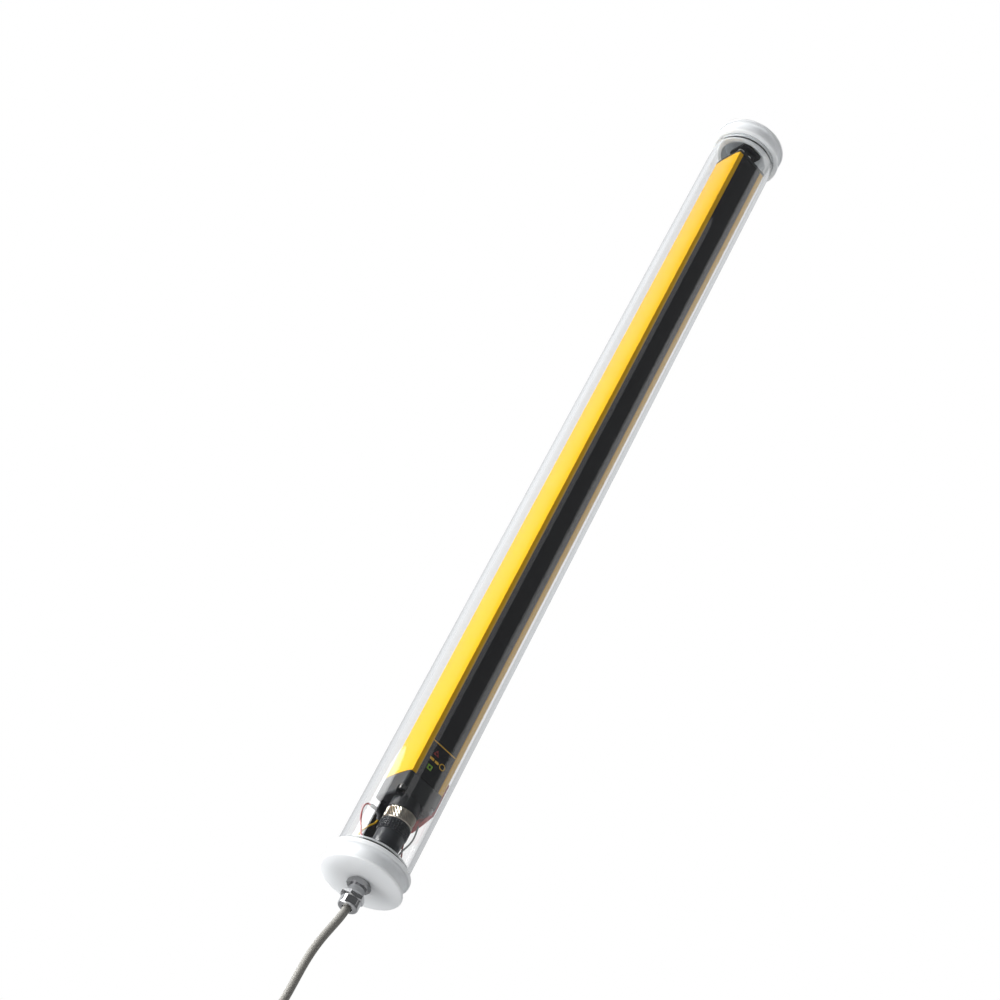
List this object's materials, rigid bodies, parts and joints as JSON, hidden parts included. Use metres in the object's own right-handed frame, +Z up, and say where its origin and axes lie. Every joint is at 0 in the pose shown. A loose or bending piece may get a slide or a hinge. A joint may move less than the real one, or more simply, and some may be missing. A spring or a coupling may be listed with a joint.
{
  "type": "safety light curtain",
  "caption": "Safety light curtain bar sealed in a clear protective tube between two turned end caps, with a side heater, a plug-in connector, a cable gland and a coiled cable.",
  "frame": {"origin": "middle of the clamp groove in the lower cap, on the tube's axis", "axes": "+Z up the tube towards the upper cap, -Y the way the light bar's window faces, +X to the right seen from the window side"},
  "size_m": [0.082, 0.0562, 0.976],
  "materials": {
    "clear_tube": "clear, polished extruded tube",
    "white_plastic": "turned, fine satin",
    "seal_rubber": "matt black",
    "yellow_paint": "powder coated extrusion, satin",
    "dark_window": "dark, glossy filter pane",
    "board_green": "solder-masked laminate",
    "black_plastic": "moulded, fine grain",
    "lens_clear": "clear moulding",
    "chip_black": "moulded packages",
    "foam_black": "soft sheet gasket",
    "zinc_steel": "zinc plated",
    "dark_steel": "blackened",
    "nickel": "nickel plated, satin bright",
    "gold": "gold plated contacts",
    "insert_black": "moulded contact carrier",
    "heater_grey": "matt grey strip",
    "silicone_red": "silicone rubber",
    "foil": "crumpled bright foil",
    "sleeve_grey": "shrunk sleeve",
    "wire_red": "gloss insulation",
    "wire_yellow": "gloss insulation",
    "wire_grey": "gloss insulation",
    "wire_dark_red": "gloss insulation",
    "cable_grey": "satin cable jacket",
    "tie_black": "nylon",
    "tinned_copper": "tinned end sleeves"
  },
  "bodies": {
    "root": {"clear_tube": "clear_tube", "lower_cap": "white_plastic", "upper_cap": "white_plastic", "lower_cap_seal": "seal_rubber", "upper_cap_seal": "seal_rubber", "profile_housing": "yellow_paint", "front_window": "dark_window", "circuit_board": "board_green", "beam_carrier": "black_plastic", "lens_strip": "lens_clear", "beam_emitters": "chip_black", "board_parts": "chip_black", "lower_end_cap": "black_plastic", "upper_end_cap": "black_plastic", "lower_end_gasket": "foam_black", "upper_end_gasket": "foam_black", "lower_end_screws": "dark_steel", "upper_end_screws": "zinc_steel", "socket_shell": "nickel", "socket_insert": "insert_black", "socket_pins": "gold", "coupling_nut": "nickel", "grip_ring": "black_plastic", "plug_body": "black_plastic", "plug_insert": "insert_black", "plug_clamp_nut": "black_plastic", "plug_cores": "wire_grey", "gland_washer": "nickel", "gland_body": "nickel", "gland_nut": "nickel", "gland_seal": "seal_rubber", "gland_locknut": "nickel", "support_bracket": "black_plastic", "bracket_screws": "dark_steel", "upper_holder": "black_plastic", "holder_screws": "zinc_steel", "heater_strip": "heater_grey", "heater_pad": "silicone_red", "foil_tape": "foil", "temperature_switch": "sleeve_grey", "red_wire": "wire_red", "yellow_wire": "wire_yellow", "grey_wire": "wire_grey", "dark_red_wire": "wire_dark_red", "outer_cable": "cable_grey", "cable_coil": "cable_grey", "cable_tie": "tie_black", "cable_tail": "cable_grey", "end_cores": "wire_grey", "end_ferrules": "tinned_copper"}
  },
  "joints": []
}
